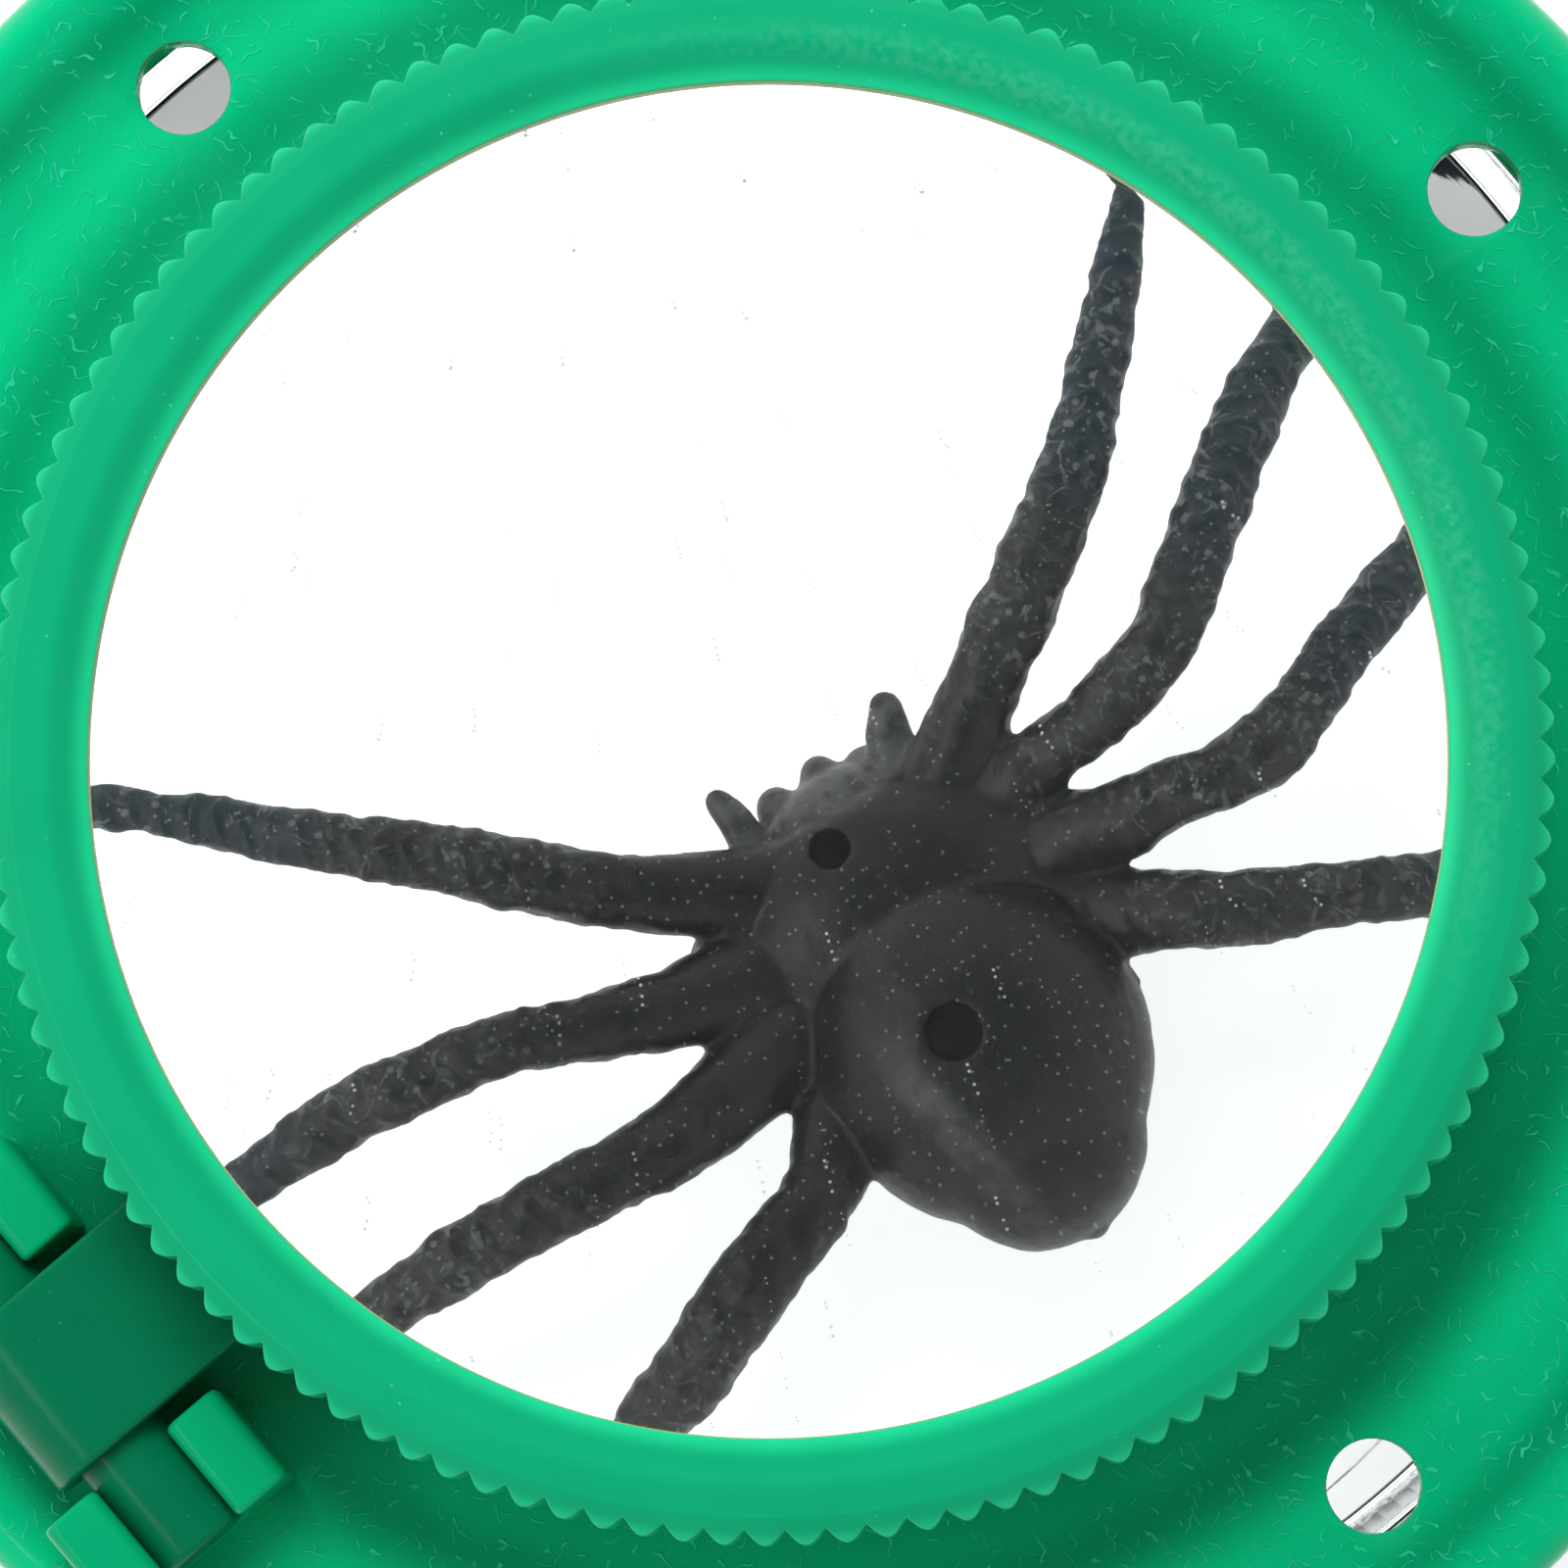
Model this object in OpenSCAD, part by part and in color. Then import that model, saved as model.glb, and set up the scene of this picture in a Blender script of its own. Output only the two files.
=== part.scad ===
// Bug catcher jar: a clear cup with a press-on lid, one lens fixed in the lid, a second lens
// that flips up on a clip-in hinge, and a moulded toy spider inside.
// Millimetres, +Z up. The origin is the centre of the base, and the hinge is at the back (+Y).

/* [Jar] */
// Height of the clear jar
jar_h = 64; // [50:1:80]
// How far the jar's outside stands past the circle of the vent holes
jar_out = 1.45; // [1.2:0.05:1.8]
// How much narrower the base is than the rim
jar_draft = 2.6; // [0:0.2:5]
// Thickness of the side wall
jar_wall = 1.2; // [0.8:0.1:1.6]
// Thickness of the floor
jar_floor_t = 1.6; // [1:0.1:3]
// Outside radius of the bottom corner
jar_corner_r = 3; // [2:0.5:5]
// Rounding of the rim's two edges
rim_round = 0.25; // [0.1:0.05:0.35]
// Width of the ring that the jar stands on
foot_w = 1.6; // [1:0.1:3]
// Height of that ring
foot_h = 0.6; // [0.3:0.1:1.2]

/* [Lid] */
// How far the lid's edge stands past the jar
lid_out = 4.3; // [4:0.1:6]
// Thickness of the lid's sheet
lid_t = 1.5; // [1:0.1:1.8]
// Rounding of the lid's outer edge
lid_edge_r = 2; // [1.9:0.1:2.2]
// Drop of the lid's outer lip, from its top face
lip_drop = 3.2; // [2.6:0.1:6]
// Length of the skirt that grips the jar
skirt_h = 8; // [5:0.5:12]
// Thickness of that skirt
skirt_t = 1.8; // [1:0.1:2]
// Clearance between the skirt and the jar
skirt_gap = 0.1; // [0.05:0.05:0.3]
// Clearance between the lid's sheet and the rim
rim_gap = 0.05; // [0.05:0.05:0.2]
// Diameter of a vent hole
vent_d = 3; // [2:0.1:4]
// How far the circle of the vent holes and the hinge axis lies past the tips of the knurl
vent_out = 5; // [4.6:0.1:5.6]

/* [Lenses] */
// Diameter of the lens that flips up, which sets the width of the whole jar
flip_lens_d = 44; // [36:0.5:52]
// Height of the dome on each face of that lens
flip_dome_h = 1.35; // [0.6:0.05:2]
// How much smaller the lens fixed in the lid is
lens_step = 0.4; // [0.2:0.1:2]
// Height of the dome on each face of the fixed lens
fixed_dome_h = 0.85; // [0.4:0.05:1.2]
// Thickness of both lenses at the edge
lens_edge_t = 2; // [1.4:0.1:2.4]
// Width of the flat rim round the domes of both lenses
lens_rim_w = 0.6; // [0.4:0.1:2]
// Radial clearance around a lens
lens_gap = 0.1; // [0.05:0.05:0.2]
// Height of the collar round the fixed lens, above the lid's top face
collar_h = 3; // [2.6:0.1:3.4]
// Thickness of the collar's wall
collar_wall = 1.4; // [1:0.1:1.8]
// How far the ledge under each lens stays back from its dome
ledge_step = 0.05; // [0.05:0.05:0.4]
// Height of the fixed lens's ledge above the lid's top face
lid_ledge_h = 0.2; // [0:0.1:0.6]

/* [Flip frame] */
// Thickness of the frame's wall round its lens
frame_wall = 1.1; // [0.8:0.1:1.4]
// Gap between the closed frame and the collar
rest_gap = 0.1; // [0.05:0.05:0.3]
// Width of the arm
arm_w = 5.6; // [4:0.1:7]
// Gap between the arm's top and the knurled ring
arm_under = 0.45; // [0.2:0.05:0.8]

/* [Knurled ring] */
// Height of the knurled ring
ring_h = 5.4; // [4.6:0.1:6.4]
// Wall between the frame and the valleys of the knurl
ring_wall = 0.53; // [0.4:0.01:0.8]
// Radial clearance between the frame and the ring
ring_gap = 0.05; // [0.03:0.01:0.1]
// Depth of the knurl
knurl_depth = 0.47; // [0.2:0.01:0.7]
// Number of teeth
knurl_count = 120; // [90:1:140]
// How far the ring's lip reaches over the lens's dome
bezel_over = 0.45; // [0.2:0.05:0.6]
// Height of the lip's inner edge above the lens's flat rim, to clear the dome
bezel_gap = 0.1; // [0.1:0.05:0.3]
// Thickness of the lip at its crest
bezel_t = 1.4; // [0.9:0.1:1.6]
// Height of the lip's inner edge, from the lens's flat rim
bezel_edge_t = 0.8; // [0.4:0.05:1]

/* [Hinge] */
// Diameter of the pin stubs
pin_d = 3.2; // [2.6:0.1:3.4]
// Radial clearance of a pin stub in its clip
pin_gap = 0.05; // [0.02:0.01:0.1]
// Diameter of the knuckle at the arm's end
knuckle_d = 4.8; // [4.2:0.1:5.2]
// Gap between the knuckle and the lid's top face
knuckle_gap = 0.35; // [0.2:0.05:0.6]
// Length of a clip along the hinge axis
jaw_w = 3.6; // [2.5:0.1:4.5]
// Thickness of one jaw of a clip
jaw_t = 2.05; // [1.6:0.05:2.3]
// Width of a clip's mouth, a little less than the pin's diameter
mouth_w = 2.9; // [2.4:0.05:3]
// Height of the jaws above the hinge axis
jaw_rise = 1.85; // [1.5:0.05:2.1]
// Rounding of the jaws' top edges
jaw_round = 0.5; // [0.2:0.05:0.7]
// Gap between the arm and a clip
arm_gap = 0.6; // [0.3:0.05:1]
// Rounding of a pin stub's end
pin_round = 0.3; // [0.1:0.05:0.6]

/* [Toy spider] */
// Room left between the spider's legs and the jar's bottom corner
spider_room = 4.1; // [2:0.05:8]
// Gap between the spider and the jar's floor
spider_gap = 0.1; // [0.05:0.05:0.3]
// Distance of the spider from the jar's axis, along X
spider_x = 1.5; // [-4:0.1:4]
// Distance of the spider from the jar's axis, along Y
spider_y = -1.7; // [-4:0.1:4]
// Heading of the spider
spider_turn = -12; // [-180:1:180]

/* [Hidden] */

$fn = 96;
// Depth by which a cut runs past a face, and by which one solid is let into another
over = 0.5;
// Steps of a quarter round, of a lens face and of one tooth
round_steps = 6;
dome_steps = 16;
tooth_steps = 4;
// Sides of the spider's lumps and of its legs
lump_sides = 20;
leg_sides = 8;

// Circles from the flip lens outwards: the frame, the knurled ring, the vent holes, the jar, the lid
frame_seat_r = flip_lens_d / 2 + lens_gap;
frame_r = frame_seat_r + frame_wall;
ring_in_r = frame_r + ring_gap;
knurl_root_r = ring_in_r + ring_wall;
knurl_tip_r = knurl_root_r + knurl_depth;
vent_r = knurl_tip_r + vent_out;
rim_r = vent_r + jar_out;
base_r = rim_r - jar_draft / 2;
skirt_in_r = rim_r + skirt_gap;
skirt_out_r = skirt_in_r + skirt_t;
lid_r = rim_r + lid_out;

// Circles inside these: ledges, the fixed lens, the collar, the jar's flat floor
flip_dome_r = flip_lens_d / 2 - lens_rim_w;
frame_ledge_r = flip_dome_r + ledge_step;
bezel_r = flip_dome_r - bezel_over;
fixed_lens_d = flip_lens_d - lens_step;
fixed_dome_r = fixed_lens_d / 2 - lens_rim_w;
lid_seat_r = fixed_lens_d / 2 + lens_gap;
lid_ledge_r = fixed_dome_r + ledge_step;
collar_r = lid_seat_r + collar_wall;
floor_r = base_r - jar_corner_r;
spider_reach = floor_r - norm([spider_x, spider_y]) - spider_room;

// Levels above the base
floor_z = foot_h + jar_floor_t;
lid_under_z = jar_h + rim_gap;
lid_top_z = lid_under_z + lid_t;
collar_top_z = lid_top_z + collar_h;
hinge_z = lid_top_z + knuckle_gap + knuckle_d / 2;
frame_z = collar_top_z + rest_gap;
ring_z = hinge_z + knuckle_d / 2 + arm_under;
ring_top_z = ring_z + ring_h;
flip_lens_z = ring_top_z - bezel_t - lens_edge_t;
fixed_lens_z = lid_top_z + lid_ledge_h;

// Places along the hinge axis
clip_x = arm_w / 2 + arm_gap;
pin_half_l = clip_x + jaw_w;

// Shape of the knurled ring's top: where its crest and its outer land lie between the lip's
// inner edge and the valleys, and how much of the lip's thickness each of them drops
crest_share = 0.48;
land_share = 0.87;
land_drop_share = 0.2;
tip_drop_share = 0.6;

// The spider's legs, as shares of its reach: forward, sideways to the left, and up. Each leg runs
// from its root over its knee down to its tip.
leg_shares = [
    [[0.06, 0.06, 0.13], [0.15, 0.23, 0.19], [0.29, 0.4, 0.2], [0.42, 0.56, 0.12], [0.53, 0.71, 0.03]],
    [[-0.01, 0.08, 0.13], [0.02, 0.24, 0.19], [0.07, 0.45, 0.2], [0.07, 0.6, 0.13], [0.08, 0.82, 0.03]],
    [[-0.06, 0.09, 0.13], [-0.09, 0.23, 0.18], [-0.09, 0.4, 0.19], [-0.1, 0.56, 0.13], [-0.15, 0.79, 0.03]],
    [[-0.11, 0.08, 0.13], [-0.19, 0.16, 0.17], [-0.25, 0.29, 0.19], [-0.3, 0.41, 0.13], [-0.42, 0.64, 0.03]],
    [[0.06, -0.1, 0.13], [0.165, -0.22, 0.19], [0.27, -0.36, 0.2], [0.43, -0.49, 0.14], [0.6, -0.65, 0.03]],
    [[0.03, -0.13, 0.13], [0.06, -0.27, 0.19], [0.12, -0.38, 0.2], [0.28, -0.57, 0.13], [0.41, -0.76, 0.03]],
    [[-0.02, -0.15, 0.13], [-0.03, -0.28, 0.18], [-0.04, -0.4, 0.2], [0.05, -0.57, 0.13], [0.15, -0.8, 0.03]],
    [[-0.07, -0.15, 0.13], [-0.13, -0.26, 0.18], [-0.18, -0.37, 0.18], [-0.21, -0.48, 0.13], [-0.32, -0.75, 0.03]]
];
// Radius of a leg at each of those points
leg_r_shares = [0.046, 0.037, 0.031, 0.026, 0.017];
// The spider's rounded lumps: centre and half sizes, forward, sideways and up
lump_shares = [
    [[0, -0.03, 0.125], [0.12, 0.165, 0.085]],
    [[-0.07, -0.035, 0.12], [0.12, 0.175, 0.075]],
    [[0.08, -0.022, 0.11], [0.06, 0.08, 0.058]],
    [[-0.15, -0.038, 0.15], [0.162, 0.157, 0.117]],
    [[-0.23, -0.042, 0.14], [0.113, 0.107, 0.094]],
    [[-0.335, -0.05, 0.13], [0.018, 0.021, 0.02]],
    [[0.12, 0.022, 0.095], [0.032, 0.023, 0.028]],
    [[0.123, -0.025, 0.095], [0.033, 0.023, 0.028]]
];
// The two feelers beside the mouth: root and tip
feeler_shares = [
    [[0.09, 0.065, 0.12], [0.157, 0.075, 0.125]],
    [[0.09, -0.085, 0.12], [0.16, -0.107, 0.125]]
];
feeler_r_shares = [0.024, 0.015];
// Width of the block that the spider is cut from, which makes its underside flat
block_share = 3;

// Points of an arc about c = [x, y]
function arc(c, r, from, to, steps = round_steps) =
    [for (i = [0:steps]) c + r * [cos(from + (to - from) * i / steps), sin(from + (to - from) * i / steps)]];

// Points of one lens face from its axis to its edge, at height z, bulging by b (down if negative)
function dome(r, z, b) =
    let (curve_r = (r * r + b * b) / (2 * abs(b)))
    [for (i = [0:dome_steps])
        let (x = r * i / dome_steps)
        [x, z + sign(b) * (sqrt(curve_r * curve_r - x * x) - curve_r + abs(b))]];

function reverse(list) = [for (i = [len(list) - 1:-1:0]) list[i]];

// Clear cup: foot ring, rounded corner, side wall that widens upwards, rim with eased edges
module jar() {
    fillet_r = jar_corner_r - jar_wall;
    inside_r = base_r - jar_wall;
    color("azure", 0.35)
        rotate_extrude()
            polygon(concat(
                [[0, foot_h], [floor_r - foot_w, foot_h], [floor_r - foot_w, 0]],
                arc([floor_r, jar_corner_r], jar_corner_r, -90, 0),
                arc([rim_r - rim_round, jar_h - rim_round], rim_round, 0, 90),
                arc([rim_r - jar_wall + rim_round, jar_h - rim_round], rim_round, 90, 180),
                reverse(arc([inside_r - fillet_r, floor_z + fillet_r], fillet_r, -90, 0)),
                [[0, floor_z]]
            ));
}

// Lid: sheet with a rounded outer lip, collar for the fixed lens, skirt, vent holes and hinge clips
module lid() {
    color("mediumseagreen") {
        difference() {
            union() {
                rotate_extrude()
                    polygon(concat(
                        [[lid_ledge_r, lid_under_z], [lid_ledge_r, fixed_lens_z],
                         [lid_seat_r, fixed_lens_z], [lid_seat_r, collar_top_z],
                         [collar_r, collar_top_z], [collar_r, lid_top_z]],
                        reverse(arc([lid_r - lid_edge_r, lid_top_z - lid_edge_r], lid_edge_r, 0, 90)),
                        [[lid_r, lid_top_z - lip_drop], [lid_r - lid_t, lid_top_z - lip_drop]],
                        arc([lid_r - lid_edge_r, lid_top_z - lid_edge_r], lid_edge_r - lid_t, 0, 90)
                    ));
                skirt();
            }
            vents();
        }
        for (side = [-1, 1]) hinge_clip(side);
    }
}

module skirt() {
    rotate_extrude()
        polygon([
            [skirt_in_r + skirt_gap, lid_under_z - skirt_h], [skirt_out_r, lid_under_z - skirt_h],
            [skirt_out_r, lid_under_z + lid_t / 2], [skirt_in_r, lid_under_z + lid_t / 2],
            [skirt_in_r, lid_under_z - skirt_h + lid_t]
        ]);
}

// Three holes on the circle that the hinge completes
module vents() {
    for (turn = [90:90:270])
        rotate(turn)
            translate([0, vent_r, lid_under_z - over])
                cylinder(d = vent_d, h = lid_t + 2 * over);
}

// Carries a profile drawn as [outward, up] from the hinge axis to a solid centred at x
module on_hinge(x, length) {
    translate([x - length / 2, vent_r, hinge_z])
        rotate([90, 0, 90])
            linear_extrude(length) children();
}

// Two jaws and the seat between them, bored for a pin stub
module hinge_clip(side) {
    x = side * (clip_x + jaw_w / 2);
    drop = hinge_z - lid_top_z + lid_t / 2;
    difference() {
        on_hinge(x, jaw_w) {
            for (m = [0, 1]) mirror([m, 0]) jaw_profile(drop);
            translate([-mouth_w / 2 - jaw_round, -drop])
                square([mouth_w + 2 * jaw_round, drop - pin_d / 4]);
        }
        translate([x - jaw_w / 2 - over, vent_r, hinge_z])
            rotate([0, 90, 0])
                cylinder(d = pin_d + 2 * pin_gap, h = jaw_w + 2 * over);
    }
}

module jaw_profile(drop) {
    outer = mouth_w / 2 + jaw_t;
    polygon(concat(
        [[mouth_w / 2, -drop], [outer, -drop]],
        arc([outer - jaw_round, jaw_rise - jaw_round], jaw_round, 0, 90),
        arc([mouth_w / 2 + jaw_round, jaw_rise - jaw_round], jaw_round, 90, 180)
    ));
}

// A lens: a disc with a dome of radius r on each face, inside a flat rim
module lens(d, r, z, dome_h) {
    color("aliceblue", 0.35)
        rotate_extrude()
            polygon(concat(
                dome(r, z, -dome_h),
                [[d / 2, z], [d / 2, z + lens_edge_t]],
                reverse(dome(r, z + lens_edge_t, dome_h))
            ));
}

module fixed_lens() {
    lens(fixed_lens_d, fixed_dome_r, fixed_lens_z, fixed_dome_h);
}

module flip_lens() {
    lens(flip_lens_d, flip_dome_r, flip_lens_z, flip_dome_h);
}

// Flip frame: a tube with a ledge for the lens, an arm, a knuckle and two pin stubs
module lens_frame() {
    arm_in = vent_r - (frame_seat_r + frame_r) / 2;
    color("seagreen") {
        rotate_extrude()
            polygon([
                [frame_ledge_r, frame_z], [frame_r, frame_z],
                [frame_r, ring_top_z - bezel_t], [frame_seat_r, ring_top_z - bezel_t],
                [frame_seat_r, flip_lens_z], [frame_ledge_r, flip_lens_z]
            ]);
        on_hinge(0, arm_w) {
            circle(d = knuckle_d);
            translate([-arm_in, frame_z - hinge_z])
                square([arm_in, knuckle_d / 2 - frame_z + hinge_z]);
        }
        translate([0, vent_r, hinge_z])
            rotate([0, 90, 0])
                rotate_extrude()
                    polygon(concat(
                        [[0, -pin_half_l]],
                        arc([pin_d / 2 - pin_round, -pin_half_l + pin_round], pin_round, -90, 0),
                        arc([pin_d / 2 - pin_round, pin_half_l - pin_round], pin_round, 0, 90),
                        [[0, pin_half_l]]
                    ));
    }
}

// Knurled ring: clamps the flip lens on the frame with its lip, teeth all round its outside
module knurled_ring() {
    span = knurl_root_r - bezel_r;
    land_r = bezel_r + span * land_share;
    fall = bezel_t * (tip_drop_share - land_drop_share) / (knurl_tip_r - land_r);
    color("mediumseagreen")
        intersection() {
            rotate_extrude()
                polygon([
                    [bezel_r, ring_top_z - bezel_t + bezel_gap],
                    [frame_ledge_r, ring_top_z - bezel_t + bezel_gap],
                    [frame_ledge_r, ring_top_z - bezel_t], [ring_in_r, ring_top_z - bezel_t],
                    [ring_in_r, ring_z], [knurl_tip_r + over, ring_z],
                    [knurl_tip_r + over, ring_top_z - bezel_t * tip_drop_share - over * fall],
                    [land_r, ring_top_z - bezel_t * land_drop_share],
                    [bezel_r + span * crest_share, ring_top_z],
                    [bezel_r, ring_top_z - bezel_t + bezel_edge_t]
                ]);
            translate([0, 0, ring_z - over])
                linear_extrude(ring_h + 2 * over)
                    polygon([for (i = [0:knurl_count * tooth_steps - 1])
                        let (a = 360 * i / (knurl_count * tooth_steps),
                             r = knurl_root_r + knurl_depth * sin(180 * (i % tooth_steps) / tooth_steps))
                        r * [cos(a), sin(a)]]);
        }
}

// Toy spider: lumps for its body and its hind part, two feelers and eight arched legs
module toy_spider() {
    color("dimgray")
        translate([spider_x, spider_y, floor_z + spider_gap])
            rotate(spider_turn)
                intersection() {
                    union() {
                        for (l = lump_shares)
                            translate(l[0] * spider_reach)
                                scale(l[1] * spider_reach)
                                    sphere(r = 1, $fn = lump_sides);
                        for (f = feeler_shares) limb(f, feeler_r_shares);
                        for (leg = leg_shares) limb(leg, leg_r_shares);
                    }
                    linear_extrude(spider_reach)
                        square(block_share * spider_reach, center = true);
                }
}

// A chain of round-ended pieces through the points
module limb(points, radii) {
    for (i = [0:len(points) - 2])
        hull()
            for (k = [i, i + 1])
                translate(points[k] * spider_reach)
                    sphere(r = radii[k] * spider_reach, $fn = leg_sides);
}

jar();
lid();
fixed_lens();
lens_frame();
flip_lens();
knurled_ring();
toy_spider();
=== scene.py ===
import math

import bmesh
import bpy
import numpy as np
from mathutils import Matrix, Vector, noise


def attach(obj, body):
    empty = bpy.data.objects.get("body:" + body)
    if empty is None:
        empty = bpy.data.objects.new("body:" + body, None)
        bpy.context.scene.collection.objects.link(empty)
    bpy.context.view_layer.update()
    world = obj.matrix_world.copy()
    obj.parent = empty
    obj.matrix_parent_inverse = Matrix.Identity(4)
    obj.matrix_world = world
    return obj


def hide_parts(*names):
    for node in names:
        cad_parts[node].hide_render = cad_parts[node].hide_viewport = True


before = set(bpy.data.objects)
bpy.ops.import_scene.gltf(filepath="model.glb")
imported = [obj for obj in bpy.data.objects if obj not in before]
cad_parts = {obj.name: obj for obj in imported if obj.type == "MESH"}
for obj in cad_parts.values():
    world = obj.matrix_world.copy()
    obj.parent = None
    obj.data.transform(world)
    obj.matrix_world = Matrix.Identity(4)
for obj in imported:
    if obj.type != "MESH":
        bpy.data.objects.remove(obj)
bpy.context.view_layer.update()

# ---------------------------------------------------------------- sizes, in millimetres
MM = 0.001

FLIP_LENS_R, LENS_STEP, LENS_RIM_W = 22.0, 0.4, 0.6
FLIP_DOME_H, FIXED_DOME_H, LENS_EDGE_T, LENS_GAP = 1.35, 0.85, 2.0, 0.1
FRAME_WALL, RING_GAP, RING_WALL, KNURL_DEPTH, KNURL_COUNT = 1.1, 0.05, 0.53, 0.47, 120
VENT_OUT, JAR_OUT, LID_OUT, VENT_D = 5.0, 1.45, 4.3, 3.0
JAR_H, JAR_DRAFT, JAR_WALL, JAR_FLOOR_T, JAR_CORNER_R = 64.0, 2.6, 1.2, 1.6, 3.0
RIM_ROUND, FOOT_W, FOOT_H = 0.25, 1.6, 0.6
LID_T, LID_EDGE_R, LIP_DROP, SKIRT_H, SKIRT_T, SKIRT_GAP, RIM_GAP = 1.5, 2.0, 3.2, 8.0, 1.8, 0.1, 0.05
COLLAR_H, COLLAR_WALL, LEDGE_STEP, LID_LEDGE_H = 3.0, 1.4, 0.05, 0.2
BEZEL_OVER, BEZEL_GAP, REST_GAP = 0.45, 0.1, 0.1
ARM_W, ARM_UNDER, KNUCKLE_D, KNUCKLE_GAP = 5.6, 0.45, 4.8, 0.35
RING_H, BEZEL_T, BEZEL_EDGE_T = 5.4, 1.4, 0.8
PIN_D, PIN_GAP, PIN_ROUND = 3.2, 0.05, 0.3
JAW_W, JAW_T, MOUTH_W, JAW_RISE, JAW_ROUND, ARM_GAP = 3.6, 2.05, 2.9, 1.85, 0.5, 0.6
SPIDER_AT, SPIDER_TURN, SPIDER_GAP = (1.5, -1.7), -12.0, 0.1

FLIP_DOME_R = FLIP_LENS_R - LENS_RIM_W
FRAME_SEAT_R = FLIP_LENS_R + LENS_GAP
FRAME_R = FRAME_SEAT_R + FRAME_WALL
FRAME_LEDGE_R = FLIP_DOME_R + LEDGE_STEP
RING_IN_R = FRAME_R + RING_GAP
ROOT_R = RING_IN_R + RING_WALL
TIP_R = ROOT_R + KNURL_DEPTH
BEZEL_R = FLIP_DOME_R - BEZEL_OVER
FIXED_LENS_R = FLIP_LENS_R - LENS_STEP / 2
FIXED_DOME_R = FIXED_LENS_R - LENS_RIM_W
LID_SEAT_R = FIXED_LENS_R + LENS_GAP
LID_LEDGE_R = FIXED_DOME_R + LEDGE_STEP
COLLAR_R = LID_SEAT_R + COLLAR_WALL
VENT_R = TIP_R + VENT_OUT
RIM_R = VENT_R + JAR_OUT
BASE_R = RIM_R - JAR_DRAFT / 2
FLOOR_R = BASE_R - JAR_CORNER_R
SKIRT_IN_R = RIM_R + SKIRT_GAP
SKIRT_OUT_R = SKIRT_IN_R + SKIRT_T
LID_R = RIM_R + LID_OUT

FLOOR_Z = FOOT_H + JAR_FLOOR_T
LID_UNDER_Z = JAR_H + RIM_GAP
LID_TOP_Z = LID_UNDER_Z + LID_T
COLLAR_TOP_Z = LID_TOP_Z + COLLAR_H
HINGE_Z = LID_TOP_Z + KNUCKLE_GAP + KNUCKLE_D / 2
FRAME_Z = COLLAR_TOP_Z + REST_GAP
RING_Z = HINGE_Z + KNUCKLE_D / 2 + ARM_UNDER
RING_TOP_Z = RING_Z + RING_H
FLIP_LENS_Z = RING_TOP_Z - BEZEL_T - LENS_EDGE_T
FIXED_LENS_Z = LID_TOP_Z + LID_LEDGE_H
CLIP_X = ARM_W / 2 + ARM_GAP
PIN_HALF_L = CLIP_X + JAW_W

# Small eased edges and overruns that only the scene has
EASE_TINY, EASE_FINE, EASE_SMALL, EASE_MID, EASE_WIDE = 0.1, 0.15, 0.2, 0.3, 0.5
COLLAR_EASE, SKIRT_EASE = 0.35, 0.4
FOOT_EASE, BLOCK_EASE, VENT_FLARE, CUT_OVER = 0.25, 0.22, 0.12, 1.0
LENS_LAND, LENS_EASE, LENS_STEPS, LENS_RINGS = 0.3, 0.12, 192, 56
# The knurled ring's crown, as shares of its width and of its lip's thickness, and its teeth
CREST_SHARE, LAND_SHARE, LAND_DROP_SHARE, TIP_DROP_SHARE = 0.48, 0.87, 0.2, 0.6
LIP_EASE, CREST_EASE, CROWN_TRIM = 0.18, 0.9, 0.02
TOOTH_EASE, TOOTH_POWER, TOOTH_STEPS, SLOPE_STEPS = 0.07, 1.15, 12, 5

ROUND_STEPS, SMALL_ROUND_STEPS = 288, 64
SMOOTH_ANGLE, LENS_SMOOTH_ANGLE, RING_SMOOTH_ANGLE = 32.0, 5.0, 40.0
TINY = 1e-6
SAME_PLACE = 0.001


# ---------------------------------------------------------------- mesh helpers
def new_object(name, verts, faces, smooth_angle=SMOOTH_ANGLE):
    """An object from points in millimetres, with outward faces and smooth shading up to an angle."""
    mesh = bpy.data.meshes.new(name)
    bm = bmesh.new()
    made = [bm.verts.new(Vector(v) * MM) for v in verts]
    for f in faces:
        bm.faces.new([made[i] for i in f])
    bmesh.ops.recalc_face_normals(bm, faces=bm.faces)
    bm.to_mesh(mesh)
    bm.free()
    obj = bpy.data.objects.new(name, mesh)
    bpy.context.scene.collection.objects.link(obj)
    shade(obj, smooth_angle)
    return obj


def shade(obj, smooth_angle):
    """Smooth shading, but sharp where two faces meet at more than an angle in degrees."""
    obj.data.shade_smooth()
    obj.data.set_sharp_from_angle(angle=math.radians(smooth_angle))


def applied(obj):
    """Turns the object's modifiers into mesh."""
    graph = bpy.context.evaluated_depsgraph_get()
    graph.update()
    mesh = bpy.data.meshes.new_from_object(obj.evaluated_get(graph))
    old = obj.data
    obj.modifiers.clear()
    obj.data = mesh
    bpy.data.meshes.remove(old)


def combine(obj, tool, operation):
    """Adds the tool to the object or cuts it away, and removes the tool."""
    m = obj.modifiers.new("combine", "BOOLEAN")
    m.object, m.operation, m.solver = tool, operation, "EXACT"
    applied(obj)
    bpy.data.objects.remove(tool)
    weld(obj.data)


def weld(mesh):
    """Merges points that a cut left in one place, so no face without area stays between them."""
    bm = bmesh.new()
    bm.from_mesh(mesh)
    bmesh.ops.remove_doubles(bm, verts=bm.verts, dist=SAME_PLACE * MM)
    bmesh.ops.dissolve_degenerate(bm, edges=bm.edges, dist=SAME_PLACE * MM)
    bm.to_mesh(mesh)
    bm.free()


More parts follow.
